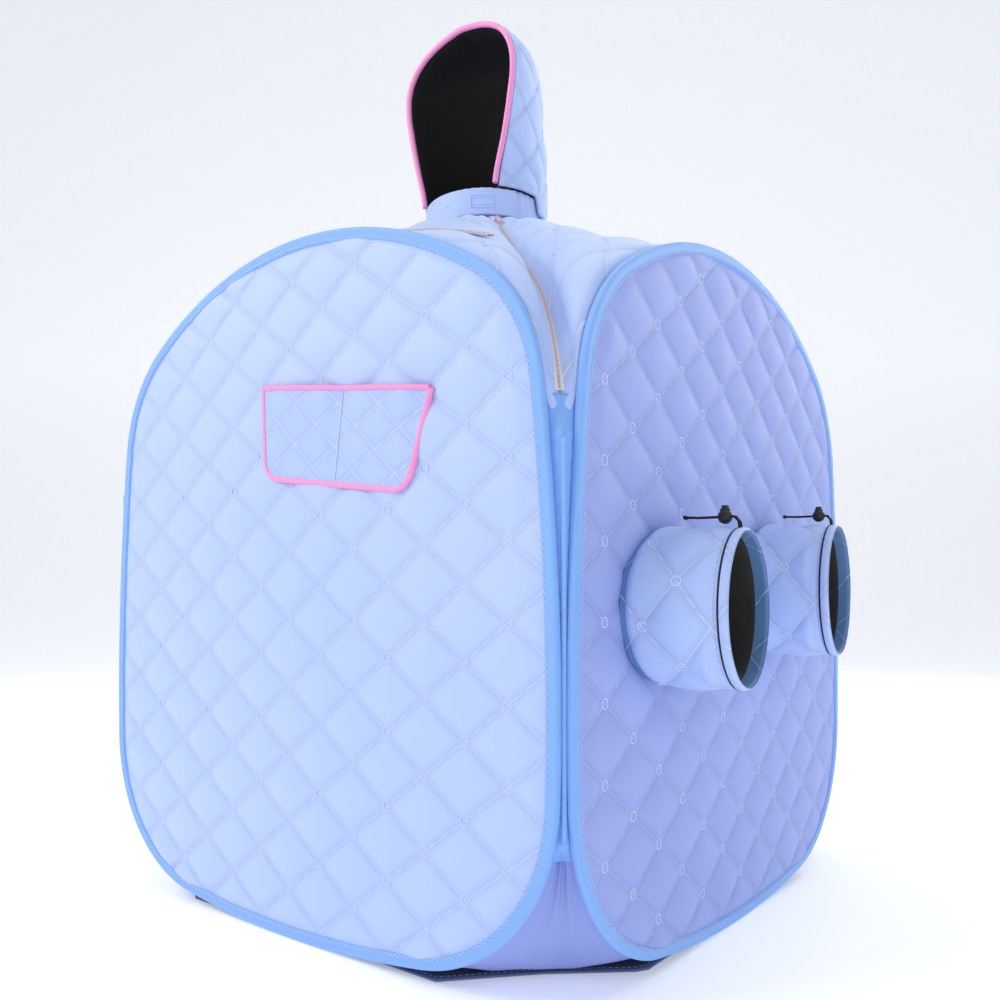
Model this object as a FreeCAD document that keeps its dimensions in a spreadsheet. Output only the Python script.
import FreeCAD, Part
import math
import os
from math import sin, cos, pi, radians, degrees, sqrt
import Sketcher
from FreeCAD import Vector, Placement, Rotation

# Portable one-person steam tent: four sprung panels, a draped roof with a neck collar, and a hood.
# Millimetres, +Z up, front at -Y, right at +X.
# Origin: ground level, on the vertical axis through the centre of the square cabin.

DIMENSIONS = [
    ("hoop_height", 980, "outside height of one spring hoop with its binding"),
    ("hoop_width", 906, "outside width of one spring hoop with its binding"),
    ("binding_wide", 18, "binding tape, seen from the front"),
    ("binding_deep", 12, "binding tape, through the panel"),
    ("binding_round", 5, "binding corner radius"),
    ("sleeve_bore", 4, "radius of the channel the hoop runs in"),
    ("hem_slot", 1.2, "slot the panel hem enters"),
    ("wire_rad", 2.5, "spring steel hoop radius"),
    ("ferrule_rad", 3.95, "crimp sleeve outside radius"),
    ("ferrule_long", 44, "crimp sleeve length"),
    ("fold_inplane", 9.4, "fold axis to hoop centre, along the panel"),
    ("fold_outplane", 6.5, "fold axis to hoop centre, through the panel"),
    ("panel_thick", 8, "quilted panel"),
    ("panel_gap", 0.1, "panel edge to binding"),
    ("seam_rad", 3.2, "corded corner seam radius"),
    ("seam_low", 202, "corner seam starts"),
    ("seam_long", 452, "corner seam length"),
    ("rad_shoulder", 220, "hoop shoulder radius"),
    ("rad_side", 3283, "hoop side radius, before it is fitted to the height"),
    ("rad_foot", 236, "hoop foot radius"),
    ("ang_top", 33.23, "hoop top arc, half angle"),
    ("ang_shoulder", 50.11, "hoop shoulder arc angle"),
    ("ang_side", 8.35, "hoop side arc angle"),
    ("ang_foot", 80.02, "hoop foot arc angle"),
    ("neck_y", -25, "neck ring centre"),
    ("neck_z", 1118, "roof meets the collar"),
    ("collar_in", 98, "collar inner radius"),
    ("collar_out", 102, "collar outer radius"),
    ("collar_low", 1117, "collar bottom"),
    ("collar_high", 50, "collar height"),
    ("roof_thick", 3, "roof and corner fabric"),
    ("floor_half", 447, "half the floor's side"),
    ("floor_flat", 258, "half length of each straight floor edge"),
    ("floor_corner", 347, "floor corner, x and y where it crosses the diagonal"),
    ("floor_thick", 3, "floor sheet"),
    ("floor_low", 0.5, "floor sheet underside"),
    ("cuff_rad", 100, "arm sleeve outside radius"),
    ("cuff_thick", 7, "arm sleeve wall"),
    ("cuff_long", 122, "arm sleeve length outside the panel"),
    ("cuff_tilt", 8, "arm sleeve axis turned back from square"),
    ("cuff_hole", 68, "hole in the panel, radius"),
    ("cuff_y1", -259, "front arm sleeve"),
    ("cuff_z1", 464, "front arm sleeve height"),
    ("cuff_y2", 79, "rear arm sleeve"),
    ("cuff_z2", 490, "rear arm sleeve height"),
    ("cord_rad", 1.5, "drawcord radius"),
    ("lock_rad", 9, "cord lock ball radius"),
    ("button_rad", 4.5, "cord lock button radius"),
    ("button_travel", 3, "cord lock button travel"),
    ("port_bore", 16, "steam hose bore radius"),
    ("port_out", 20, "steam port spigot radius"),
    ("port_flange", 38, "steam port flange radius"),
    ("port_x", -210, "steam port, to the left seen from the front"),
    ("port_z", 190, "steam port height"),
    ("pocket_wide", 333, "pocket width at the top"),
    ("pocket_low_wide", 286, "pocket width at the bottom"),
    ("pocket_high", 134, "pocket height"),
    ("pocket_deep", 13, "pocket depth from the panel"),
    ("pocket_x", 100, "pocket centre"),
    ("pocket_z", 691, "pocket centre height"),
    ("pocket_turn", 8, "pocket set at a slight slope"),
    ("zip_wide", 15, "zip tape width"),
    ("zip_thick", 1, "zip tape"),
    ("coil_wide", 4.6, "zip teeth width"),
    ("coil_high", 1.6, "zip teeth height"),
    ("strap_thick", 2.4, "neck strap"),
    ("strap_high", 45, "neck strap height"),
    ("strap_low", 1119, "neck strap bottom"),
    ("hood_wall", 5, "hood shell"),
    ("arch_y", -392, "plane of the arched zip"),
]

doc = FreeCAD.newDocument("SteamTent")
dims = doc.addObject("Spreadsheet::Sheet", "Dims")
for i, (alias, value, note) in enumerate(DIMENSIONS, start=1):
    dims.set("A%d" % i, note)
    dims.set("B%d" % i, str(value))
    dims.setAlias("B%d" % i, alias)
doc.recompute()


def size(alias):
    return float(dims.get(alias))


HOOP_HIGH = size("hoop_height")
HOOP_HALF = size("hoop_width") / 2
BIND_HALF = size("binding_wide") / 2
BIND_DEEP = size("binding_deep") / 2  # half the tape's depth
FOLD_AT = HOOP_HALF - BIND_HALF + size("fold_inplane")  # fold axes stand at (+-FOLD_AT, +-FOLD_AT)
PANEL_AT = FOLD_AT + size("fold_outplane")  # mid planes of the panels, from the cabin's axis
PANEL_HALF = size("panel_thick") / 2
NECK_Y, NECK_Z = size("neck_y"), size("neck_z")
COLLAR_RAD = size("collar_out")
NECK_RAD = COLLAR_RAD + 0.6  # inner edge of the roof cloth
X_AXIS, Y_AXIS, Z_AXIS = Vector(1, 0, 0), Vector(0, 1, 0), Vector(0, 0, 1)

# Each side: turn about Z from the front, then its left and right corners seen from outside
SIDES = {
    "front": (0, "fl", "fr"),
    "right": (90, "fr", "br"),
    "back": (180, "br", "bl"),
    "left": (270, "bl", "fl"),
}
CORNERS = {"fr": (1, -1), "br": (1, 1), "bl": (-1, 1), "fl": (-1, -1)}


def side_turn(side):
    """Cosine and sine of the side's turn, as whole numbers."""
    angle = radians(SIDES[side][0])
    return round(cos(angle)), round(sin(angle))


def side_place(side):
    turn_cos, turn_sin = side_turn(side)
    base = Vector(PANEL_AT * turn_sin, -PANEL_AT * turn_cos, 0)
    return Placement(base, Rotation(Z_AXIS, SIDES[side][0]))


# In a panel's own frame x runs to the right seen from outside, -y points out, z is up.
PLACES = {side: side_place(side) for side in SIDES}
pieces = []


def record(obj, label):
    obj.Label = label
    pieces.append(obj)


def add_piece(label, shape, place=None):
    obj = doc.addObject("Part::Feature", label)
    obj.Shape = shape
    if place is not None:
        obj.Placement = place
    record(obj, label)


def solid_of(shape):
    """One closed solid, the right way out."""
    if shape.ShapeType != "Solid":
        found = shape.Solids
        if len(found) == 1:
            shape = found[0]
    if shape.ShapeType == "Solid" and shape.Volume < 0:
        shape = shape.reversed()
    return shape


def arc_edge(start, middle, end):
    return Part.Arc(start, middle, end).toShape()


def segment(start, end):
    return Part.LineSegment(start, end).toShape()


def circle_wire(radius, centre, normal):
    return Part.Wire([Part.makeCircle(radius, centre, normal)])


def curve_edge(points):
    curve = Part.BSplineCurve()
    curve.interpolate(points)
    return curve.toShape()


def upright_edges(shape):
    return [e for e in shape.Edges if abs(e.tangentAt(e.FirstParameter).z) > 0.9]


def frame_place(origin, x, z):
    """Placement with the given origin and x and z directions."""
    y = z.cross(x)
    matrix = FreeCAD.Matrix(
        x.x, y.x, z.x, origin.x,
        x.y, y.y, z.y, origin.y,
        x.z, y.z, z.z, origin.z,
        0, 0, 0, 1,
    )
    return Placement(matrix)


def resample(points, count):
    """count + 1 points at even distances along a polyline."""
    travel = [0.0]
    for start, end in zip(points, points[1:]):
        travel.append(travel[-1] + math.dist(start, end))
    out, j = [], 0
    for i in range(count + 1):
        target = travel[-1] * i / count
        while j < len(travel) - 2 and travel[j + 1] < target:
            j += 1
        part = (target - travel[j]) / max(1e-12, travel[j + 1] - travel[j])
        out.append(tuple(p + (q - p) * part for p, q in zip(points[j], points[j + 1])))
    return out


def quadratic(t, first, control, last):
    """Quadratic Bezier value."""
    return (1 - t) ** 2 * first + 2 * t * (1 - t) * control + t * t * last


# ---------------------------------------------------------------- hoop curve
def hoop_arcs():
    """Half of the outside line, top centre to bottom centre on the +x side, as
    (radius, start angle, end angle), the angle turned from the top.
    The top and bottom radii follow from the width; the side radius is fitted to the height."""
    top_end = radians(size("ang_top"))
    shoulder_end = top_end + radians(size("ang_shoulder"))
    side_end = shoulder_end + radians(size("ang_side"))
    foot_end = side_end + radians(size("ang_foot"))
    shoulder, side, foot = size("rad_shoulder"), size("rad_side"), size("rad_foot")
    for _ in range(20):
        top = (
            HOOP_HALF
            - shoulder * (sin(shoulder_end) - sin(top_end))
            - side * (1 - sin(shoulder_end))
        ) / sin(top_end)
        foot_x = (
            HOOP_HALF + side * (sin(side_end) - 1) + foot * (sin(foot_end) - sin(side_end))
        )
        bottom = foot_x / sin(foot_end)
        high = (
            top * (1 - cos(top_end))
            + shoulder * (cos(top_end) - cos(shoulder_end))
            + side * (cos(shoulder_end) - cos(side_end))
            + foot * (cos(side_end) - cos(foot_end))
            + bottom * (cos(foot_end) + 1)
        )
        side += (HOOP_HIGH - high) / (cos(shoulder_end) - cos(side_end))
    return [
        (top, 0, top_end),
        (shoulder, top_end, shoulder_end),
        (side, shoulder_end, side_end),
        (foot, side_end, foot_end),
        (bottom, foot_end, pi),
    ]


HOOP_ARCS = hoop_arcs()


def hoop_run(inset):
    """Arcs as (centre x, centre z, radius, start, end) on the +x side, the outside line
    moved in by inset."""
    out, x, z = [], 0.0, HOOP_HIGH
    for radius, start, end in HOOP_ARCS:
        centre_x, centre_z = x - radius * sin(start), z - radius * cos(start)
        out.append((centre_x, centre_z, radius - inset, start, end))
        x, z = centre_x + radius * sin(end), centre_z + radius * cos(end)
    return out


def on_arc(arc, angle):
    """(x, z) on one arc of a hoop run."""
    return arc[0] + arc[2] * sin(angle), arc[1] + arc[2] * cos(angle)


def hoop_edges(inset):
    """Closed loop of ten arcs in the plane y = 0."""

    def edge(arc, hand, first, last):
        ends = []
        for angle in (first, (first + last) / 2, last):
            x, z = on_arc(arc, angle)
            ends.append(Vector(hand * x, 0, z))
        return arc_edge(*ends)

    run = hoop_run(inset)
    right = [edge(arc, 1, arc[3], arc[4]) for arc in run]
    left = [edge(arc, -1, arc[4], arc[3]) for arc in reversed(run)]
    return right + left


def hoop_half_width(inset, height):
    for centre_x, centre_z, radius, start, end in hoop_run(inset):
        high, low = centre_z + radius * cos(start), centre_z + radius * cos(end)
        if low - 1e-9 <= height <= high + 1e-9:
            ratio = max(-1.0, min(1.0, (height - centre_z) / radius))
            return centre_x + radius * sin(math.acos(ratio))
    return 0.0


def hoop_polyline(inset, z_low, count):
    """count + 1 points evenly along the line from the left at z_low over the top to the
    right at z_low."""
    steps = 60
    points = []
    for arc in hoop_run(inset):
        start, end = arc[3:]
        for i in range(steps):
            point = on_arc(arc, start + (end - start) * i / steps)
            if point[1] < z_low:
                break
            points.append(point)
        if points and on_arc(arc, end)[1] < z_low:
            break
    points.append((hoop_half_width(inset, z_low), z_low))
    full = [(-x, z) for x, z in reversed(points)] + points[1:]
    return resample(full, count)


# ---------------------------------------------------------------- shells from point grids
def grid_surface(grid):
    surface = Part.BSplineSurface()
    surface.interpolate([[Vector(*p) for p in row] for row in grid])
    return surface


def grid_normals(grid):
    rows, columns = len(grid), len(grid[0])
    out = []
    for i in range(rows):
        row = []
        for j in range(columns):
            down = Vector(*grid[min(rows - 1, i + 1)][j]) - Vector(*grid[max(0, i - 1)][j])
            along = Vector(*grid[i][min(columns - 1, j + 1)]) - Vector(*grid[i][max(0, j - 1)])
            normal = down.cross(along)
            row.append(normal * (1 / (normal.Length or 1.0)))
        out.append(row)
    return out


def thick_sheet(grid, thick, toward):
    """Closed solid between the grid's surface and the same surface moved by thick toward
    the side where the point toward lies."""
    normals = grid_normals(grid)
    i, j = len(grid) // 2, len(grid[0]) // 2
    facing = normals[i][j].dot(Vector(*toward) - Vector(*grid[i][j]))
    shift = thick if facing > 0 else -thick
    moved = [
        [Vector(*p) + normal * shift for p, normal in zip(points, row)]
        for points, row in zip(grid, normals)
    ]
    outer, inner = grid_surface(grid), grid_surface(moved)
    faces = [outer.toShape(), inner.toShape()]
    outer_ends, inner_ends = outer.bounds(), inner.bounds()
    for i in range(4):
        iso = "uIso" if i < 2 else "vIso"
        outer_edge = getattr(outer, iso)(outer_ends[i]).toShape()
        inner_edge = getattr(inner, iso)(inner_ends[i]).toShape()
        faces.append(Part.makeRuledSurface(outer_edge, inner_edge))
    shell = Part.Shell(faces)
    shell.sewShape()
    return solid_of(Part.Solid(shell))


# ---------------------------------------------------------------- hoops and bindings
def ring_sweep(section):
    """The closed section, drawn at the top of the hoop, carried round the hoop's ten arcs."""
    face = Part.Face(section)
    parts = []
    for centre_x, centre_z, radius, start, end in hoop_run(BIND_HALF):
        centre = Vector(centre_x, 0, centre_z)
        profile = face.copy()
        profile.translate(Vector(centre_x, 0, centre_z + radius - (HOOP_HIGH - BIND_HALF)))
        profile.rotate(centre, Y_AXIS, degrees(start))
        part = profile.revolve(centre, Y_AXIS, degrees(end - start))
        parts.append(solid_of(part))
        parts.append(solid_of(part.mirror(Vector(0, 0, 0), X_AXIS)))
    whole = parts[0].fuse(parts[1:]).removeSplitter()
    return solid_of(whole)


def binding_section():
    """Rounded tape section at the top of the hoop, with the wire's channel and a slot
    toward the panel."""
    rounding, slot, bore = size("binding_round"), size("hem_slot") / 2, size("sleeve_bore")
    deep, wide = BIND_DEEP, BIND_HALF
    flat_deep, flat_wide = deep - rounding, wide - rounding
    bulge = rounding * (1 - sqrt(0.5))
    mid_deep, mid_wide = deep - bulge, wide - bulge
    mouth = -sqrt(bore * bore - slot * slot)  # where the slot enters the channel

    def at(through, outward):
        return Vector(0, through, HOOP_HIGH - BIND_HALF + outward)

    edges = [
        segment(at(slot, mouth), at(slot, -wide)),
        segment(at(slot, -wide), at(flat_deep, -wide)),
        arc_edge(at(flat_deep, -wide), at(mid_deep, -mid_wide), at(deep, -flat_wide)),
        segment(at(deep, -flat_wide), at(deep, flat_wide)),
        arc_edge(at(deep, flat_wide), at(mid_deep, mid_wide), at(flat_deep, wide)),
        segment(at(flat_deep, wide), at(-flat_deep, wide)),
        arc_edge(at(-flat_deep, wide), at(-mid_deep, mid_wide), at(-deep, flat_wide)),
        segment(at(-deep, flat_wide), at(-deep, -flat_wide)),
        arc_edge(at(-deep, -flat_wide), at(-mid_deep, -mid_wide), at(-flat_deep, -wide)),
        segment(at(-flat_deep, -wide), at(-slot, -wide)),
        segment(at(-slot, -wide), at(-slot, mouth)),
        arc_edge(at(-slot, mouth), at(0, bore), at(slot, mouth)),
    ]
    return Part.Wire(Part.__sortEdges__(edges))


def binding_solid():
    """Binding with shallow grooves where the corner seam cords lie."""
    binding = ring_sweep(binding_section())
    for hand in (-1, 1):
        groove = Part.makeCylinder(
            size("seam_rad") + 0.06,
            size("seam_long") + 4,
            Vector(hand * FOLD_AT, PANEL_AT - FOLD_AT, size("seam_low") - 2),
        )
        binding = solid_of(binding.cut(groove))
    return binding


def ferrule_solid():
    """Crimp sleeve on the middle of the bottom arc."""
    _, centre_z, bottom_rad, _, _ = hoop_run(BIND_HALF)[-1]
    turn = degrees(size("ferrule_long") / bottom_rad)
    centre = Vector(0, 0, centre_z)

    def bottom_rod(radius, angle):
        section = Part.Face(circle_wire(radius, Vector(0, 0, BIND_HALF), X_AXIS))
        rod = section.revolve(centre, Y_AXIS, angle)
        rod.rotate(centre, Y_AXIS, -angle / 2)
        return solid_of(rod)

    outer = bottom_rod(size("ferrule_rad"), turn)
    return solid_of(outer.cut(bottom_rod(size("wire_rad") + 0.02, turn * 1.2)))


# ---------------------------------------------------------------- the four panels
PORT_X, PORT_Z = -size("port_x"), size("port_z")  # in the back panel's frame, x the other way
HOLE_CUT = 60

# Holes by panel: x and z in the panel's frame, radius alias, clearance in the expression
PANEL_HOLES = {
    "right": [
        (size("cuff_y1"), size("cuff_z1"), "cuff_hole", ""),
        (size("cuff_y2"), size("cuff_z2"), "cuff_hole", ""),
    ],
    "back": [(PORT_X, PORT_Z, "port_out", " + 0.1")],
}


def sketch_on(body, name, role):
    sketch = body.newObject("Sketcher::SketchObject", name)
    plane = [f for f in body.Origin.OriginFeatures if f.Role == role][0]
    sketch.AttachmentSupport = [(plane, "")]
    sketch.MapMode = "FlatFace"
    return sketch


def panel_body(name):
    body = doc.addObject("PartDesign::Body", name + "_panel")
    outline = sketch_on(body, name + "_outline", "XZ_Plane")
    for e in hoop_edges(2 * BIND_HALF + size("panel_gap")):
        span = e.LastParameter - e.FirstParameter
        points = [e.valueAt(e.FirstParameter + span * k) for k in (0, 0.5, 1)]
        outline.addGeometry(Part.Arc(*(Vector(p.x, p.z, 0) for p in points)), False)
    pad = body.newObject("PartDesign::Pad", name + "_pad")
    pad.Profile = outline
    pad.setExpression("Length", "Dims.panel_thick")
    pad.Midplane = True
    body.Tip = pad
    holes = PANEL_HOLES.get(name, [])
    if holes:
        doc.recompute()
    for i, (x, z, radius, clearance) in enumerate(holes):
        ring = sketch_on(body, "%s_hole_line_%d" % (name, i), "XZ_Plane")
        ring.addGeometry(Part.Circle(Vector(x, z, 0), Z_AXIS, size(radius)), False)
        ring.addConstraint(Sketcher.Constraint("Radius", 0, size(radius)))
        ring.setExpression("Constraints[0]", "Dims.%s%s" % (radius, clearance))
        hole = body.newObject("PartDesign::Pocket", "%s_hole_%d" % (name, i))
        hole.Profile = ring
        hole.Length = HOLE_CUT
        hole.Midplane = True
        body.Tip = hole
        doc.recompute()
    body.Placement = PLACES[name]
    record(body, name + "_panel")


binding = binding_solid()
hoop_wire = ring_sweep(
    circle_wire(size("wire_rad"), Vector(0, 0, HOOP_HIGH - BIND_HALF), X_AXIS)
)
ferrule = ferrule_solid()
for side in SIDES:
    add_piece(side + "_hoop_wire", hoop_wire, PLACES[side])
    add_piece(side + "_hoop_ferrule", ferrule, PLACES[side])
    add_piece(side + "_binding", binding, PLACES[side])
    panel_body(side)

for tag, (sign_x, sign_y) in CORNERS.items():
    cord = doc.addObject("Part::Cylinder", "corner_seam_" + tag)
    cord.setExpression("Radius", "Dims.seam_rad")
    cord.setExpression("Height", "Dims.seam_long")
    corner = Vector(sign_x * FOLD_AT, sign_y * FOLD_AT, size("seam_low"))
    cord.Placement = Placement(corner, Rotation())
    record(cord, "corner_seam_" + tag)


# ---------------------------------------------------------------- roof
TIP_Z = 656.0  # lower end of the roof's corner seams
TIP_AT = FOLD_AT - 9.0
SEAM_RUN = 508.0  # nominal horizontal run of a corner seam
SEAM_FALL = 0.66  # fall per unit of run on the straight part
STRAIGHT_RUN = 360.0
BEND_RUN = 415.0  # first control point of the bend, still on the straight line
ROOF_Y = PANEL_AT - BIND_DEEP - 2.6  # roof edge along the hoops
ROOF_INSET = 4.0  # roof edge in from the hoop's outside line
CLOTH_SAG = 30.0
GORE_ALONG, GORE_UP = 32, 20  # grid steps


def neck_point(tag):
    sign_x, sign_y = CORNERS[tag]
    return NECK_RAD * sign_x * sqrt(0.5), NECK_Y + NECK_RAD * sign_y * sqrt(0.5)


def seam_profile():
    """Horizontal run and height along a corner seam, collar to tip: straight, then a cubic
    curve down."""
    straight_steps, bend_steps = 24, 64
    runs = [STRAIGHT_RUN * i / straight_steps for i in range(straight_steps)]
    points = [(run, NECK_Z - SEAM_FALL * run) for run in runs]
    controls = [
        (STRAIGHT_RUN, NECK_Z - SEAM_FALL * STRAIGHT_RUN),
        (BEND_RUN, NECK_Z - SEAM_FALL * BEND_RUN),
        (503.0, TIP_Z + 106),
        (SEAM_RUN, TIP_Z),
    ]
    for i in range(bend_steps + 1):
        t = i / bend_steps
        weights = ((1 - t) ** 3, 3 * t * (1 - t) ** 2, 3 * t * t * (1 - t), t**3)
        points.append(tuple(sum(w * c[k] for w, c in zip(weights, controls)) for k in (0, 1)))
    return points


def seam_points(tag, count):
    """count + 1 points from tip to collar along the corner seam."""
    neck_x, neck_y = neck_point(tag)
    sign_x, sign_y = CORNERS[tag]
    out = []
    for run, z in resample(seam_profile(), count):
        k = run / SEAM_RUN
        x = neck_x + (sign_x * TIP_AT - neck_x) * k
        y = neck_y + (sign_y * TIP_AT - neck_y) * k
        out.append((x, y, z))
    return list(reversed(out))


def gore_grid(side, along=GORE_ALONG, up=GORE_UP):
    """Roof gore of one side: rows along the hoop (left to right seen from outside), columns
    from hoop to collar, blended between hoop, collar and the two corner seams."""
    turn_cos, turn_sin = side_turn(side)
    _, left_tag, right_tag = SIDES[side]

    def local(p):
        return (p[0] * turn_cos + p[1] * turn_sin, -p[0] * turn_sin + p[1] * turn_cos, p[2])

    def world(p):
        return (p[0] * turn_cos - p[1] * turn_sin, p[0] * turn_sin + p[1] * turn_cos, p[2])

    left = [local(p) for p in seam_points(left_tag, up)]
    right = [local(p) for p in seam_points(right_tag, up)]
    hoop = [(x, -ROOF_Y, z) for x, z in hoop_polyline(ROOF_INSET, TIP_Z + 40, along)]
    # the ends of the hoop line run down into the two seam tips
    hoop = resample([left[0]] + hoop + [right[0]], along)
    centre = local((0, NECK_Y, NECK_Z))
    start, end = (
        math.atan2(p[1] - centre[1], p[0] - centre[0]) for p in (left[-1], right[-1])
    )
    while end < start:
        end += 2 * pi
    grid = []
    for i in range(along + 1):
        u = i / along
        angle = start + (end - start) * u
        neck = (
            centre[0] + NECK_RAD * cos(angle),
            centre[1] + NECK_RAD * sin(angle),
            NECK_Z,
        )
        row = []
        for j in range(up + 1):
            v = j / up
            point = []
            for k in range(3):
                c = (1 - v) * hoop[i][k] + v * neck[k]
                c += (1 - u) * left[j][k] + u * right[j][k]
                c -= (1 - v) * ((1 - u) * hoop[0][k] + u * hoop[-1][k])
                c -= v * ((1 - u) * left[-1][k] + u * right[-1][k])
                point.append(c)
            # take the seam's bulge out of the middle and let the cloth sag a little there
            middle = 4 * u * (1 - u)
            bulge = 0.5 * (left[j][2] + right[j][2]) - ((1 - v) * left[0][2] + v * left[-1][2])
            point[2] -= middle * (bulge + CLOTH_SAG * 6.75 * v * (1 - v) ** 2)
            row.append(world(point))
        grid.append(row)
    return grid


# The corner zip follows the front right seam, outward from the collar along SEAM_X, SEAM_Y.
SEAM_NECK_X, SEAM_NECK_Y = neck_point("fr")
TRUE_RUN = math.hypot(TIP_AT - SEAM_NECK_X, TIP_AT + SEAM_NECK_Y)
SEAM_X, SEAM_Y = (TIP_AT - SEAM_NECK_X) / TRUE_RUN, (-TIP_AT - SEAM_NECK_Y) / TRUE_RUN
RUN_SCALE = TRUE_RUN / SEAM_RUN


def offset_line(points, distance):
    out = []
    for i, p in enumerate(points):
        before, after = points[max(0, i - 1)], points[min(len(points) - 1, i + 1)]
        run, rise = after[0] - before[0], after[1] - before[1]
        length = math.hypot(run, rise)
        out.append((p[0] - rise / length * distance, p[1] + run / length * distance))
    return out


def corner_band(low, high, wide, run_from, run_to):
    """Band along the corner seam, low..high above it, over the seam profile's own points
    between the two runs."""
    line = [(run * RUN_SCALE, z) for run, z in seam_profile() if run_from <= run <= run_to]
    line = resample(line, 40)
    under, over = (
        [Vector(SEAM_NECK_X + SEAM_X * p[0], SEAM_NECK_Y + SEAM_Y * p[0], p[1])
         for p in offset_line(line, distance)]
        for distance in (low, high)
    )
    wire = Part.Wire([
        curve_edge(under),
        Part.makeLine(under[-1], over[-1]),
        curve_edge(over),
        Part.makeLine(over[0], under[0]),
    ])
    half_width = Vector(-SEAM_Y, SEAM_X, 0) * (wide / 2)
    face = Part.Face(Part.Wire(Part.__sortEdges__(wire.Edges)))
    face.translate(-half_width)
    return solid_of(face.extrude(half_width * 2))


TAPE_WIDE, TAPE_THICK = size("zip_wide"), size("zip_thick")
STITCH_GAP = 0.9  # each gore stands back from its seam by this much
zip_slot = corner_band(-7.0, 7.0, TAPE_WIDE + 0.8, 8, 502)
neck_core = Part.makeCylinder(COLLAR_RAD + 0.15, 80, Vector(0, NECK_Y, NECK_Z - 40))
for side in SIDES:
    grid = gore_grid(side)
    for j in range(len(grid[0])):
        for edge, inner in ((0, 1), (-1, -2)):
            p, q = grid[edge][j], grid[inner][j]
            pull_in = min(0.4, STITCH_GAP / (math.dist(p, q) or 1.0))
            grid[edge][j] = tuple(c + (d - c) * pull_in for c, d in zip(p, q))
    gore = thick_sheet(grid, size("roof_thick"), (0, 0, 600)).cut(neck_core)
    if side in ("front", "right"):
        gore = gore.cut(zip_slot)
    add_piece("roof_" + side, solid_of(gore))


# ---------------------------------------------------------------- lower corners
GUSSET_TOP = 204.0
GUSSET_EDGE = PANEL_AT - BIND_DEEP - 0.6  # gusset edges, from the cabin's axis
GUSSET_STEPS = 14


def foot_points(count):
    """From the seam down the inner side of the foot to the floor, on the +x side."""
    steps, inner_x = 80, 262
    points = []
    for arc in hoop_run(5.0):
        start, end = arc[3:]
        for i in range(steps):
            angle = start + (end - start) * i / steps
            x, z = on_arc(arc, angle)
            if z < GUSSET_TOP and angle > pi / 2 and x > inner_x:
                points.append((x, z))
    return resample(points, count)


def gusset_grid(tag):
    """Rows run from one foot to the other round the corner, stacked from seam to floor."""
    sign_x, sign_y = CORNERS[tag]
    grid = []
    for j, (x, z) in enumerate(foot_points(GUSSET_STEPS)):
        t = j / GUSSET_STEPS
        first, last = (x, GUSSET_EDGE, z), (GUSSET_EDGE, x, z)
        # middle of the corner: from the seam down and in to the floor's rounded corner
        diagonal = quadratic(t, FOLD_AT - 12.0, 422.0, 349.0)
        middle = (diagonal, diagonal, quadratic(t, GUSSET_TOP - 6, 70.0, 7.0))
        control = [2 * m - 0.5 * (p + q) for p, m, q in zip(first, middle, last)]
        row = []
        for i in range(GUSSET_STEPS + 1):
            u = i / GUSSET_STEPS
            p = [quadratic(u, *values) for values in zip(first, control, last)]
            row.append((sign_x * p[0], sign_y * p[1], p[2]))
        grid.append(row)
    return grid


for tag in CORNERS:
    gusset = thick_sheet(gusset_grid(tag), size("roof_thick"), (0, 0, 500))
    add_piece("corner_gusset_" + tag, gusset)


# ---------------------------------------------------------------- floor
def floor_body():
    body = doc.addObject("PartDesign::Body", "floor_sheet")
    outline = sketch_on(body, "floor_outline", "XY_Plane")
    half, flat, corner = size("floor_half"), size("floor_flat"), size("floor_corner")
    for sx, sy in ((1, 1), (-1, 1), (-1, -1), (1, -1)):
        start = Vector(sx * half, sy * flat, 0)
        middle = Vector(sx * corner, sy * corner, 0)
        outline.addGeometry(Part.Arc(start, middle, Vector(sx * flat, sy * half, 0)), False)
    for s in (1, -1):
        for start, end in (((-flat, s * half), (flat, s * half)),
                           ((s * half, -flat), (s * half, flat))):
            outline.addGeometry(Part.LineSegment(Vector(*start, 0), Vector(*end, 0)), False)
    pad = body.newObject("PartDesign::Pad", "floor_pad")
    pad.Profile = outline
    pad.setExpression("Length", "Dims.floor_thick")
    body.Tip = pad
    body.Placement = Placement(Vector(0, 0, size("floor_low")), Rotation())
    record(body, "floor_sheet")


floor_body()


# ---------------------------------------------------------------- collar and strap
def neck_collar():
    outer = doc.addObject("Part::Cylinder", "neck_collar_outer")
    inner = doc.addObject("Part::Cylinder", "neck_collar_inner")
    outer.setExpression("Radius", "Dims.collar_out")
    inner.setExpression("Radius", "Dims.collar_in")
    for cylinder in (outer, inner):
        cylinder.setExpression("Height", "Dims.collar_high")
    collar = doc.addObject("Part::Cut", "neck_collar")
    collar.Base, collar.Tool = outer, inner
    collar.Placement = Placement(Vector(0, NECK_Y, size("collar_low")), Rotation())
    record(collar, "neck_collar")


def ring_piece(inner, outer, low, high, start, end):
    """Part of a ring about the neck axis; angles in degrees from -Y, counter-clockwise."""
    section = [(inner, low), (outer, low), (outer, low + high), (inner, low + high), (inner, low)]
    face = Part.Face(Part.makePolygon([Vector(x, 0, z) for x, z in section]))
    ring = face.revolve(Vector(0, 0, 0), Z_AXIS, end - start)
    ring.rotate(Vector(0, 0, 0), Z_AXIS, start - 90)
    ring.translate(Vector(0, NECK_Y, 0))
    return solid_of(ring)


STRAP_LOW, STRAP_HIGH = size("strap_low"), size("strap_high")
STRAP_START, STRAP_END = -80.0, 66.0
STRAP_IN = COLLAR_RAD + 2.1
STRAP_OUT = STRAP_IN + size("strap_thick")
TAIL_LONG, TAIL_FLARE = 15, 3
END_BEAD_RAD = 2.0


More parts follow.
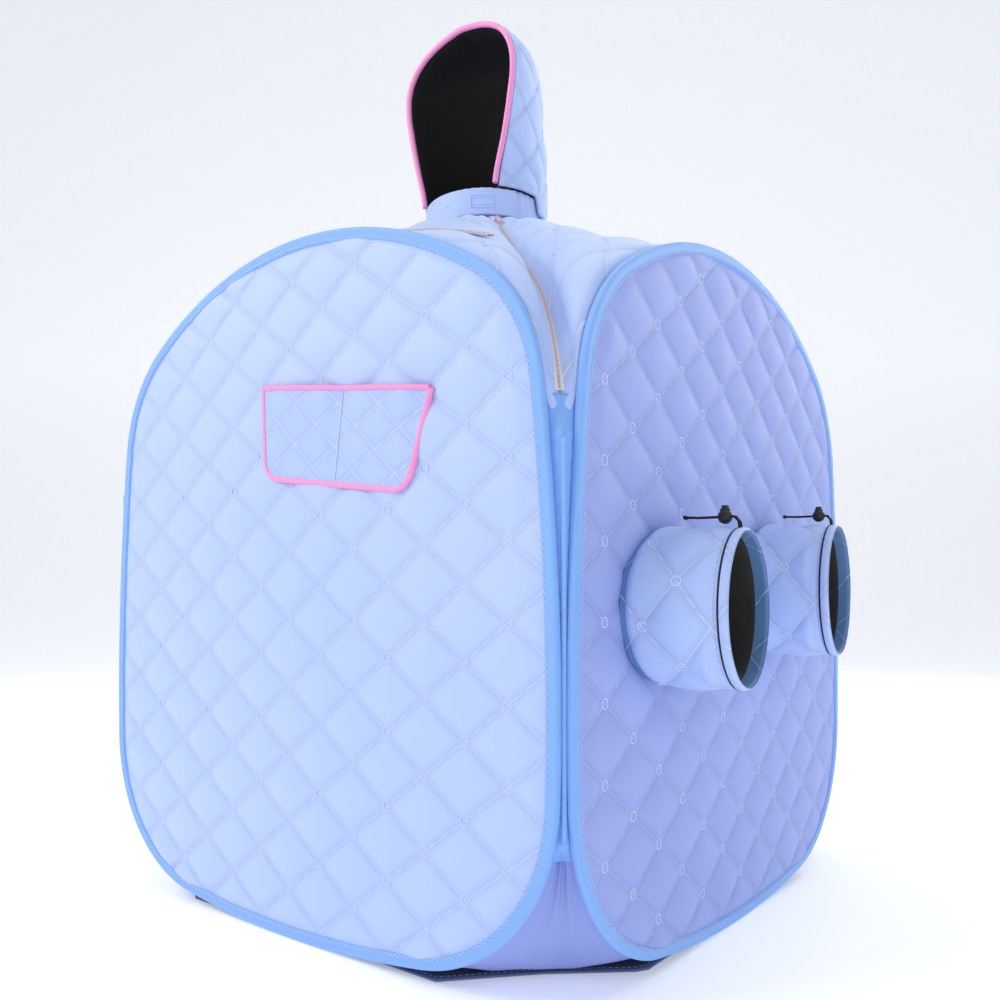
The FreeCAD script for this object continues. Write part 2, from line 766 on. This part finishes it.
def neck_strap():
    band = ring_piece(STRAP_IN, STRAP_OUT, STRAP_LOW, STRAP_HIGH, STRAP_START, STRAP_END)
    # the free end runs straight on, flaring away from the collar
    angle = radians(STRAP_START - 90)
    out = Vector(cos(angle), sin(angle), 0)
    onward = Vector(out.y, -out.x, 0)
    base = Vector(0, NECK_Y, STRAP_LOW)
    flare = onward * TAIL_LONG + out * TAIL_FLARE
    inner, outer = base + out * STRAP_IN, base + out * STRAP_OUT
    tail = Part.Face(Part.makePolygon([inner, outer, outer + flare, inner + flare, inner]))
    tail = tail.extrude(Vector(0, 0, STRAP_HIGH))
    # upright bead on the other end
    angle = radians(STRAP_END - 90)
    middle = (STRAP_IN + STRAP_OUT) / 2
    foot = Vector(middle * cos(angle), NECK_Y + middle * sin(angle), STRAP_LOW)
    bead = Part.makeCylinder(END_BEAD_RAD, STRAP_HIGH, foot)
    return solid_of(band.fuse([tail, bead]).removeSplitter())


def patch_pair(inner, outer):
    patch_up, patch_high, patch_angle = 12, 22, 20
    return Part.Compound([
        ring_piece(inner, outer, STRAP_LOW + patch_up, patch_high, start, start + patch_angle)
        for start in (-74.0, 34.0)
    ])


neck_collar()
add_piece("neck_strap", neck_strap())
add_piece("strap_hook_patches", patch_pair(COLLAR_RAD + 1.1, STRAP_IN))
add_piece("collar_loop_patches", patch_pair(COLLAR_RAD, COLLAR_RAD + 1.05))

# ---------------------------------------------------------------- hood
# Sections: height, half width, front y, back y, squareness (2 is an ellipse)
HOOD = [
    (1142, 107.6, -132.6, 82.6, 2.0),
    (1168, 107.6, -132.8, 82.6, 2.0),
    (1195, 108.5, -136, 80, 2.05),
    (1230, 110.5, -148, 75, 2.1),
    (1270, 113, -166, 68, 2.15),
    (1310, 117, -182, 58, 2.2),
    (1350, 121.5, -194, 48, 2.25),
    (1385, 119.5, -194, 40, 2.25),
    (1412, 109, -186, 32, 2.2),
    (1435, 90, -172, 19, 2.1),
    (1450, 66, -152, 3, 2.0),
    (1459, 40, -126, -18, 2.0),
    (1464, 16, -98, -48, 2.0),
]
HOOD_LOW, HOOD_TOP, HOOD_BACK = HOOD[0][0], HOOD[-1][0], HOOD[0][3]
HOOD_WALL = size("hood_wall")
LINING_THICK = 1.6

# Edge of the face opening seen from the side: y, height
FRONT_LINE = [
    (-92, 1100), (-94, 1168), (-94, 1210), (-94, 1260), (-95, 1310),
    (-96, 1360), (-96, 1410), (-92, 1450), (-88, 1490),
]


def hood_row(z, half_width, front, back, squareness, inset):
    """One half section on the +x side, as points from the back round to the front."""
    steps = 16
    middle, half_deep = (front + back) / 2, (back - front) / 2 - inset
    half_width = half_width - inset
    power = 2 / squareness
    row = []
    for k in range(steps + 1):
        angle = pi * (k / steps) - pi / 2
        x = max(0.0, cos(angle)) ** power * half_width
        y = middle - math.copysign(abs(sin(angle)) ** power, sin(angle)) * half_deep
        row.append((0.0 if k in (0, steps) else max(0.0, x), y, z))
    return row


def hood_solid(inset):
    """Hood form moved in by inset, its foot kept and its top lowered by the same amount."""
    rows = []
    squeeze = (HOOD_TOP - inset - HOOD_LOW) / (HOOD_TOP - HOOD_LOW)
    for z, half_width, front, back, squareness in HOOD:
        # the narrow sections near the top take less inset
        shrink = inset if half_width > 40 else inset * half_width / 40 * 0.9
        height = HOOD_LOW + (z - HOOD_LOW) * squeeze
        rows.append(hood_row(height, half_width, front, back, squareness, shrink))
    surfaces = [
        grid_surface([[(hand * x, y, z) for x, y, z in row] for row in rows])
        for hand in (1, -1)
    ]
    faces = [surface.toShape() for surface in surfaces]
    for end in (0, 1):  # flat lids, bottom and top
        edges = [surface.uIso(surface.bounds()[end]).toShape() for surface in surfaces]
        faces.append(Part.Face(Part.Wire(Part.__sortEdges__(edges))))
    shell = Part.Shell(faces)
    shell.sewShape()
    return solid_of(Part.Solid(shell))


def face_cutter():
    """Everything ahead of the face opening's edge."""
    half_width, ahead = 260, -400
    points = [Vector(-half_width, y, z) for y, z in FRONT_LINE]
    low, top = points[0], points[-1]
    low_ahead = Vector(-half_width, ahead, low.z)
    top_ahead = Vector(-half_width, ahead, top.z)
    wire = Part.Wire([
        curve_edge(points),
        Part.makeLine(top, top_ahead),
        Part.makeLine(top_ahead, low_ahead),
        Part.makeLine(low_ahead, low),
    ])
    return Part.Face(wire).extrude(Vector(2 * half_width, 0, 0))


def hood_pieces():
    outer = hood_solid(0.0)
    middle = hood_solid(HOOD_WALL)
    inner = hood_solid(HOOD_WALL + LINING_THICK)
    face_cut = face_cutter()
    # clears the strap and the collar in front
    base_cut = Part.makeBox(600, 300, 28, Vector(-300, -300 + NECK_Y + 3, 1141))

    shell = outer.cut(middle).cut(face_cut).cut(base_cut)
    shell = shell.cut(Part.makeCylinder(COLLAR_RAD + 0.4, 30, Vector(0, NECK_Y, 1138)))
    roll_long = 90  # bead along the foot of the hood at the back
    roll_start = Vector(-roll_long / 2, HOOD_BACK + 0.6, HOOD_LOW - 1.0)
    shell = shell.fuse(Part.makeCylinder(2.5, roll_long, roll_start, X_AXIS))

    # the common with itself rebuilds the solid before the cuts
    lining = middle.common(middle).cut(inner).cut(face_cut).cut(base_cut)
    lining = lining.cut(Part.makeBox(600, 600, 28.5, Vector(-300, -300, 1140)))
    add_piece("hood_shell", solid_of(shell))
    add_piece("hood_lining", solid_of(lining))


def front_y(height):
    for (y0, z0), (y1, z1) in zip(FRONT_LINE, FRONT_LINE[1:]):
        if z0 <= height <= z1:
            return y0 + (y1 - y0) * (height - z0) / (z1 - z0)
    return FRONT_LINE[-1][0]


def hood_at(height):
    for lower, upper in zip(HOOD, HOOD[1:]):
        if lower[0] <= height <= upper[0]:
            t = (height - lower[0]) / (upper[0] - lower[0])
            return [p + (q - p) * t for p, q in zip(lower, upper)]
    return list(HOOD[-1])


def opening_line(inset, ahead):
    """Points round the face opening, from one foot over the crown to the other."""
    points = []
    z = 1172.0
    while z < HOOD_TOP:
        _, half_width, front, back, squareness = hood_at(z)
        y = front_y(z)
        half_deep = (back - front) / 2 - inset
        ratio = abs((y - (front + back) / 2) / half_deep)
        if ratio >= 1:
            break
        x = (half_width - inset) * (1 - ratio**squareness) ** (1 / squareness)
        points.append((x, y - ahead, z))
        z += 2.0
    top = (0.0, points[-1][1], points[-1][2] + 1.0)
    line = resample([(-x, y, z) for x, y, z in points] + [top] + list(reversed(points)), 240)
    for _ in range(60):  # ease the corners at the crown
        eased = [
            tuple((p + 2 * q + r) / 4 for p, q, r in zip(*three))
            for three in zip(line, line[1:], line[2:])
        ]
        line = [line[0]] + eased + [line[-1]]
    return resample(line, 44)


def bead_along(points, radius):
    """Round bead through points that all lie near one upright plane facing the front."""
    rings = []
    for i, p in enumerate(points):
        before, after = points[max(0, i - 1)], points[min(len(points) - 1, i + 1)]
        tangent = Vector(*after) - Vector(*before)
        tangent.normalize()
        across = tangent.cross(Vector(0, -1, 0))
        across.normalize()
        other = tangent.cross(across)
        centre = Vector(*p)
        first, last = centre + other * radius, centre - other * radius
        one = arc_edge(first, centre + across * radius, last)
        two = arc_edge(last, centre - across * radius, first)
        rings.append(Part.Wire([one, two]))
    bead = Part.makeLoft(rings, True, True)
    bead = bead.Solids[0] if bead.Solids else Part.Solid(bead.Shells[0])
    if bead.Volume < 0:
        bead = Part.Solid(bead.Shells[0].reversed())
    return bead


hood_pieces()
add_piece("hood_piping", bead_along(opening_line(HOOD_WALL / 2 + 0.5, 6.4), 4.6))

# ---------------------------------------------------------------- zips
COIL_WIDE, COIL_HIGH = size("coil_wide"), size("coil_high")
CORNER_LIFT = 0.6  # corner tape above the seam line
PARK_RUN = 44.0  # run from the collar to the parked corner slider
PIN_HIGH = 6.9  # pull's pin above the tape


def slider_solid():
    """Zip slider: runs along x, its underside 0.25 above the tape face at z = 0, teeth
    through its channel."""
    long, wide, high = 13, 9.4, 5.2
    body = Part.makeBox(long, wide, high, Vector(-long / 2, -wide / 2, 0.25))
    body = body.makeFillet(1.2, upright_edges(body))
    channel = COIL_WIDE + 0.5
    body = body.cut(Part.makeBox(20, channel, COIL_HIGH + 0.35, Vector(-10, -channel / 2, -0.05)))
    arch_long, arch_wide = 8.4, 3.0
    arch = Part.makeBox(arch_long, arch_wide, 3.4, Vector(-arch_long / 2, -arch_wide / 2, 5.4))
    arch = arch.cut(Part.makeCylinder(1.15, 4, Vector(0, -2, PIN_HIGH), Y_AXIS))
    return solid_of(body.fuse(arch).removeSplitter())


def pull_solid():
    """Pull tab lying along +x from its pin, which runs along y."""
    wide, thick, arm_wide = 7.4, 1.8, 1.5
    low = PIN_HIGH - thick / 2
    pin = Part.makeCylinder(1.1, wide, Vector(0, -wide / 2, PIN_HIGH), Y_AXIS)
    arms = [
        Part.makeBox(10.5, arm_wide, thick, Vector(-0.9, y, low))
        for y in (-wide / 2, wide / 2 - arm_wide)
    ]
    plate = Part.makeBox(26, wide, thick, Vector(7.6, -wide / 2, low))
    plate = plate.makeFillet(2.4, [e for e in upright_edges(plate) if e.CenterOfMass.x > 20])
    plate = plate.cut(Part.makeCylinder(1.6, 6, Vector(28.5, 0, 4), Z_AXIS))
    return solid_of(pin.fuse(arms + [plate]).removeSplitter())


SLIDER, PULL = slider_solid(), pull_solid()


def add_zip(name, tape, teeth, slider_place):
    add_piece(name + "_zip_tape", tape)
    add_piece(name + "_zip_teeth", teeth)
    add_piece(name + "_zip_slider", SLIDER, slider_place)
    add_piece(name + "_zip_pull", PULL, slider_place)


def corner_slider_place():
    """Slider parked near the collar, its x axis down the seam."""
    down = Vector(SEAM_X, SEAM_Y, -SEAM_FALL / RUN_SCALE)
    down.normalize()
    up = Vector(-down.z * SEAM_X, -down.z * SEAM_Y, math.hypot(down.x, down.y))
    up.normalize()
    on_seam = Vector(
        SEAM_NECK_X + SEAM_X * PARK_RUN,
        SEAM_NECK_Y + SEAM_Y * PARK_RUN,
        NECK_Z - SEAM_FALL * PARK_RUN / RUN_SCALE,
    )
    return frame_place(on_seam + up * (CORNER_LIFT + TAPE_THICK), down, up)


corner_face = CORNER_LIFT + TAPE_THICK
add_zip(
    "corner",
    corner_band(CORNER_LIFT, corner_face, TAPE_WIDE, 10, 500),
    corner_band(corner_face + 0.05, corner_face + COIL_HIGH, COIL_WIDE, 10, 498),
    corner_slider_place(),
)

# Arched zip on the front gore: a cone band about an axis along y, fitted to the roof
ARCH_Y = size("arch_y")
ARCH_X = 300.0  # the band ends at this x
ARCH_START = -1.6  # degrees from the top; the band begins just past it on the -x side
HALF_TAPE = TAPE_WIDE / 2
FINE_ALONG, FINE_UP = 96, 60
fine_grid = gore_grid("front", FINE_ALONG, FINE_UP)


def height_in_triangle(corners, x, y):
    """Height of the triangle's plane at (x, y), or None outside it."""
    (x0, y0, z0), (x1, y1, z1), (x2, y2, z2) = corners
    area = (y1 - y2) * (x0 - x2) + (x2 - x1) * (y0 - y2)
    if abs(area) < 1e-9:
        return None
    first = ((y1 - y2) * (x - x2) + (x2 - x1) * (y - y2)) / area
    second = ((y2 - y0) * (x - x2) + (x0 - x2) * (y - y2)) / area
    third = 1 - first - second
    if min(first, second, third) > -1e-6:
        return first * z0 + second * z1 + third * z2
    return None


def roof_height(x, y):
    heights = []
    for i in range(FINE_ALONG):
        for j in range(FINE_UP):
            near, far = fine_grid[i], fine_grid[i + 1]
            cell = (near[j], far[j], far[j + 1], near[j + 1])
            if any(
                min(p[k] for p in cell) - 1 > place or max(p[k] for p in cell) + 1 < place
                for k, place in enumerate((x, y))
            ):
                continue
            for corners in (cell[:3], (cell[0], cell[2], cell[3])):
                z = height_in_triangle(corners, x, y)
                if z is not None:
                    heights.append(z)
    return max(heights) if heights else None


# x, then roof height under the middle, back edge and front edge of the tape
arch_samples = [
    (ARCH_X * i / 12,)
    + tuple(roof_height(ARCH_X * i / 12, ARCH_Y + dy) for dy in (0, HALF_TAPE, -HALF_TAPE))
    for i in range(13)
]
arch_top = arch_samples[0][1]


def arch_misfit(radius):
    centre_z = arch_top - radius
    return max(abs(math.hypot(x, z - centre_z) - radius) for x, z, _, _ in arch_samples[:11])


ARCH_RAD = float(min(range(400, 1400, 2), key=arch_misfit))
ARCH_Z = arch_top - ARCH_RAD
slopes = [(back - front) / TAPE_WIDE for _, _, back, front in arch_samples[:9]]
arch_slope = math.atan(sum(slopes) / len(slopes))
SLOPE_COS, SLOPE_SIN = cos(arch_slope), sin(arch_slope)
# lift the band clear of the highest sample
ARCH_LIFT = 0.5 + max(
    (math.hypot(x, z - ARCH_Z) - ARCH_RAD) * SLOPE_COS - dy * SLOPE_SIN
    for x, middle, back, front in arch_samples
    for dy, z in ((0, middle), (HALF_TAPE, back), (-HALF_TAPE, front))
)


def arch_point(across, above):
    return Vector(
        0,
        ARCH_Y + across * SLOPE_COS - above * SLOPE_SIN,
        ARCH_Z + ARCH_RAD + across * SLOPE_SIN + above * SLOPE_COS,
    )


def arch_band(low, high, wide, start, end):
    """Band on the cone: low..high above the roof line, start..end degrees from the top
    toward +x."""
    half = wide / 2
    section = [(-half, low), (half, low), (half, high), (-half, high), (-half, low)]
    face = Part.Face(Part.makePolygon([arch_point(*p) for p in section]))
    centre = Vector(0, 0, ARCH_Z)
    face.rotate(centre, Y_AXIS, start)
    return solid_of(face.revolve(centre, Y_AXIS, end - start))


arch_end = degrees(math.asin(ARCH_X / ARCH_RAD))
arch_face = ARCH_LIFT + TAPE_THICK
add_zip(
    "arch",
    arch_band(ARCH_LIFT, arch_face, TAPE_WIDE, ARCH_START, arch_end),
    arch_band(arch_face, arch_face + COIL_HIGH, COIL_WIDE, ARCH_START, arch_end - 0.3),
    frame_place(arch_point(0, arch_face), X_AXIS, Vector(0, -SLOPE_SIN, SLOPE_COS)),
)

# ---------------------------------------------------------------- arm sleeves
# Sleeve frame: x along the sleeve away from the panel, z up, origin on the panel's plane.
CUFF_RAD, CUFF_LONG = size("cuff_rad"), size("cuff_long")
CUFF_BORE = CUFF_RAD - size("cuff_thick")
CHANNEL_X = CUFF_LONG - 12.0  # cord channel, back from the mouth
CORD_RING = CUFF_RAD - size("cuff_thick") / 2
CORD = size("cord_rad")
LOCK_RAD, BUTTON_RAD = size("lock_rad"), size("button_rad")
TRAVEL = size("button_travel")
LOCK_Z = CUFF_RAD + LOCK_RAD + 1.0
LOCK_X = CHANNEL_X - 18.5
CORD_SIDE, CORD_Z = 2.2, -0.1  # the two cords in the lock, from its centre
TAIL_BEHIND = 26.0 + 24  # slide room, then the free ends, behind the lock's centre
BORE_FLOOR, BUTTON_LOW = -7.6, -2.9  # heights in the lock


def cuff_place(number):
    tilt = radians(size("cuff_tilt"))
    origin = Vector(PANEL_AT, size("cuff_y%d" % number), size("cuff_z%d" % number))
    return frame_place(origin, Vector(cos(tilt), sin(tilt), 0), Z_AXIS)


def cuff_shell():
    """Sleeve tube, left long at the panel end, with the cord channel at its mouth."""
    outer = Part.makeCylinder(CUFF_RAD, CUFF_LONG + 40, Vector(-40, 0, 0), X_AXIS)
    mouth = [
        e for e in outer.Edges
        if e.Curve.TypeId == "Part::GeomCircle" and e.Curve.Center.x > CUFF_LONG - 1
    ]
    outer = outer.makeFillet(3.0, mouth)
    shell = outer.cut(Part.makeCylinder(CUFF_BORE, CUFF_LONG + 60, Vector(-50, 0, 0), X_AXIS))
    shell = shell.cut(Part.makeTorus(CORD_RING, CORD + 0.3, Vector(CHANNEL_X, 0, 0), X_AXIS))
    # opening on top where the cord comes out
    return shell.cut(Part.makeBox(8, 11, 8, Vector(CHANNEL_X - 5, -5.5, CORD_RING - 0.5)))


def cuff_lining():
    """Thin cone widening from the panel to near the mouth."""
    start, start_rad, thick = -8, 60.0, 1.2
    end_rad = CUFF_BORE - 0.6
    long = CUFF_LONG - 15 - start
    outer = Part.makeCone(start_rad, end_rad, long, Vector(start, 0, 0), X_AXIS)
    inner = Part.makeCone(
        start_rad - thick, end_rad - thick, long + 0.02, Vector(start - 0.01, 0, 0), X_AXIS
    )
    return solid_of(outer.cut(inner))


def drawcord():
    """Ring in the channel, open at the top, with two tails through the lock."""
    ring = Part.makeTorus(CORD_RING, CORD, Vector(CHANNEL_X, 0, 0), X_AXIS)
    wedge_half, wedge_high = 4.0, 140
    wedge_x = CHANNEL_X - 5
    wedge_points = [(0, 0), (-wedge_half, wedge_high), (wedge_half, wedge_high), (0, 0)]
    wedge = Part.Face(Part.makePolygon([Vector(wedge_x, y, z) for y, z in wedge_points]))
    ring = ring.cut(wedge.extrude(Vector(10, 0, 0)))
    cord_z = LOCK_Z + CORD_Z
    tails = []
    for hand in (-1, 1):
        ring_end = hand * wedge_half * CORD_RING / wedge_high
        points = [
            Vector(CHANNEL_X, ring_end * 1.3, CORD_RING),
            Vector(CHANNEL_X - 1.0, hand * 2.6, CORD_RING + 5.5),
            Vector(CHANNEL_X - 4.5, hand * 2.3, LOCK_Z - 2.6),
            Vector(CHANNEL_X - 9.5, hand * CORD_SIDE, cord_z),
        ]
        curve = Part.BSplineCurve()
        curve.interpolate(points, InitialTangent=Z_AXIS, FinalTangent=Vector(-1, 0, 0))
        bend = curve.toShape()
        tail_end = Vector(LOCK_X - TAIL_BEHIND, hand * CORD_SIDE, cord_z)
        path = Part.Wire([bend, Part.makeLine(bend.valueAt(bend.LastParameter), tail_end)])
        section = circle_wire(CORD, points[0], Z_AXIS)
        tails.append(solid_of(path.makePipeShell([section], True, False)))
    return ring.fuse(tails[0].fuse(tails[1]))


def lock_body():
    """Ball with a button neck on top, a blind bore and two cord holes."""
    centre = Vector(0, 0, 0)
    body = Part.makeSphere(LOCK_RAD, centre)
    body = body.fuse(Part.makeCylinder(BUTTON_RAD + 1.6, LOCK_RAD + 0.6, centre, Z_AXIS))
    body = body.cut(Part.makeCylinder(BUTTON_RAD + 0.08, 30, Vector(0, 0, BORE_FLOOR), Z_AXIS))
    for hand in (-1, 1):
        start = Vector(-20, hand * CORD_SIDE, CORD_Z)
        body = body.cut(Part.makeCylinder(CORD + 0.12, 40, start, X_AXIS))
    return solid_of(body.removeSplitter())


def lock_button():
    """Button with a cross slot for the cords."""
    top = LOCK_RAD + 0.6 + TRAVEL + 1.2
    button = Part.makeCylinder(BUTTON_RAD, top - BUTTON_LOW, Vector(0, 0, BUTTON_LOW), Z_AXIS)
    rim = [
        e for e in button.Edges
        if e.Curve.TypeId == "Part::GeomCircle" and e.Curve.Center.z > top - 0.1
    ]
    button = button.makeFillet(1.0, rim)
    slot_low = Vector(-10, -4.0, CORD_Z - CORD - 0.12)
    return button.cut(Part.makeBox(20, 8.0, CORD * 2 + TRAVEL + 0.25, slot_low))


def lock_spring():
    """Coil between the bore's floor and the button."""
    wire, coil_rad, turns = 0.3, 3.2, 2.5
    low, high = BORE_FLOOR + wire + 0.02, BUTTON_LOW - wire - 0.02
    helix = Part.makeHelix((high - low) / turns, high - low, coil_rad)
    helix.translate(Vector(0, 0, low))
    e = helix.Edges[0]
    section = circle_wire(wire, e.valueAt(e.FirstParameter), e.tangentAt(e.FirstParameter))
    return solid_of(Part.Wire(helix.Edges).makePipeShell([section], True, True))


sleeve, sleeve_lining, sleeve_cord = cuff_shell(), cuff_lining(), drawcord()
lock_parts = {"body": lock_body(), "button": lock_button(), "spring": lock_spring()}
# everything from the right panel's outer face inward
panel_side = Part.makeBox(400, 1400, 1400, Vector(PANEL_AT + PANEL_HALF + 0.1 - 400, -700, 0))
for number in (1, 2):
    place = cuff_place(number)
    shell = sleeve.copy()
    shell.Placement = place
    add_piece("sleeve_%d_shell" % number, solid_of(shell.cut(panel_side)))
    add_piece("sleeve_%d_lining" % number, sleeve_lining, place)
    add_piece("sleeve_%d_drawcord" % number, solid_of(sleeve_cord), place)
    lock_place = place.multiply(Placement(Vector(LOCK_X, 0, LOCK_Z), Rotation()))
    for part, shape in lock_parts.items():
        add_piece("cord_lock_%d_%s" % (number, part), shape, lock_place)

# ---------------------------------------------------------------- steam port, low on the back
PORT_RAD = size("port_out")


def steam_port():
    """Spigot through the back panel, with an outside flange and a tapered hose ridge."""
    outside, inside = 42, 12  # reach beyond the panel's faces
    outward = Vector(0, -1, 0)

    def at(y):
        return Vector(PORT_X, y, PORT_Z)

    long = PANEL_HALF * 2 + outside + inside
    port = Part.makeCylinder(PORT_RAD, long, at(PANEL_HALF + inside), outward)
    port = port.fuse(
        Part.makeCylinder(size("port_flange"), 3.5, at(-PANEL_HALF - 0.1), outward)
    )
    port = port.fuse(Part.makeCone(PORT_RAD + 2.4, PORT_RAD, 8, at(-PANEL_HALF - 32), outward))
    port = port.cut(Part.makeCylinder(size("port_bore"), 140, at(70), outward))
    return solid_of(port.removeSplitter())


def port_nut():
    """Ring nut on the inside face, with six grip notches."""
    cut_from = PANEL_HALF - 5
    nut = Part.makeCylinder(PORT_RAD + 11, 7, Vector(PORT_X, PANEL_HALF + 0.1, PORT_Z), Y_AXIS)
    nut = nut.cut(
        Part.makeCylinder(PORT_RAD + 0.05, 20, Vector(PORT_X, cut_from, PORT_Z), Y_AXIS)
    )
    notch_ring = PORT_RAD + 12.5
    for k in range(6):
        angle = radians(60 * k)
        x, z = PORT_X + notch_ring * cos(angle), PORT_Z + notch_ring * sin(angle)
        nut = nut.cut(Part.makeCylinder(4, 20, Vector(x, cut_from, z), Y_AXIS))
    return solid_of(nut)


add_piece("steam_port", steam_port(), PLACES["back"])
add_piece("steam_port_nut", port_nut(), PLACES["back"])

# ---------------------------------------------------------------- pocket on the front
POCKET_TOP, POCKET_LOW = size("pocket_wide") / 2, size("pocket_low_wide") / 2  # half widths
POCKET_HALF = size("pocket_high") / 2
POCKET_DEEP = size("pocket_deep")
ROOM_DEEP = POCKET_DEEP - 5
POCKET_BACK = -PANEL_HALF - 0.1  # plane of the pocket's back
ROOM_BACK = -PANEL_HALF - 2.1


def pocket_line(inset, y):
    """Tapered outline with rounded lower corners, in the plane y."""
    top, low, high = POCKET_TOP - inset, POCKET_LOW - inset, POCKET_HALF - inset
    reach = 30.0 - inset  # from the sharp corner to each end of its rounding
    ease = 0.62
    side = Vector(low - top, 0, -2 * high)
    side.normalize()

    def mirrored(p):
        return Vector(-p.x, y, p.z)

    top_right, corner = Vector(top, y, high), Vector(low, y, -high)
    top_left = mirrored(top_right)
    above = corner - side * reach
    beside = Vector(low - reach, y, -high)
    middle = corner + (Vector(low - reach * ease, y, -high + reach * ease) - corner) * ease
    right = arc_edge(above, middle, beside)
    left = arc_edge(mirrored(beside), mirrored(middle), mirrored(above))
    return Part.Wire([
        Part.makeLine(top_left, top_right),
        Part.makeLine(top_right, above),
        right,
        Part.makeLine(beside, mirrored(beside)),
        left,
        Part.makeLine(mirrored(above), top_left),
    ])


def outline_block(inset, y, deep):
    return Part.Face(pocket_line(inset, y)).extrude(Vector(0, -deep, 0))


def mouth_box(side_margin, below_top):
    """Box that opens the pocket's top edge."""
    half = POCKET_TOP - side_margin
    corner = Vector(-half, ROOM_BACK - ROOM_DEEP, POCKET_HALF - below_top)
    return Part.makeBox(2 * half, ROOM_DEEP, 30, corner)


def pocket_pouch():
    """Hollow pouch open at the top, with an upright divider near its middle."""
    pouch = outline_block(4.0, POCKET_BACK, POCKET_DEEP)
    room = outline_block(7.0, ROOM_BACK, ROOM_DEEP)
    room = room.fuse(mouth_box(12, 20))
    room = room.cut(Part.makeBox(2, 40, 300, Vector(6, -PANEL_HALF - 30, -150)))
    return solid_of(pouch.cut(room).removeSplitter())


def pocket_rim():
    """Binding round the pouch, open at the mouth."""
    outer = outline_block(0.0, POCKET_BACK, POCKET_DEEP + 1.2)
    inner = outline_block(3.95, -PANEL_HALF + 10, 60)
    return solid_of(outer.cut(inner).cut(mouth_box(10, 15)))


pocket_place = PLACES["front"].multiply(
    Placement(
        Vector(size("pocket_x"), 0, size("pocket_z")),
        Rotation(Y_AXIS, size("pocket_turn")),
    )
)
add_piece("pocket_panel", pocket_pouch(), pocket_place)
add_piece("pocket_binding", pocket_rim(), pocket_place)

# ---------------------------------------------------------------- check and export
doc.recompute()
bad = []
for obj in pieces:
    shape = obj.Shape
    failed = any(state in ("Invalid", "Error") for state in obj.State)
    if failed or shape.isNull() or not shape.isValid():
        bad.append((obj.Label, list(obj.State), shape.isNull()))
print("pieces", len(pieces), "bad", bad)
os.makedirs("parts", exist_ok=True)
for obj in pieces:
    obj.Shape.exportStep("parts/%s.step" % obj.Label)
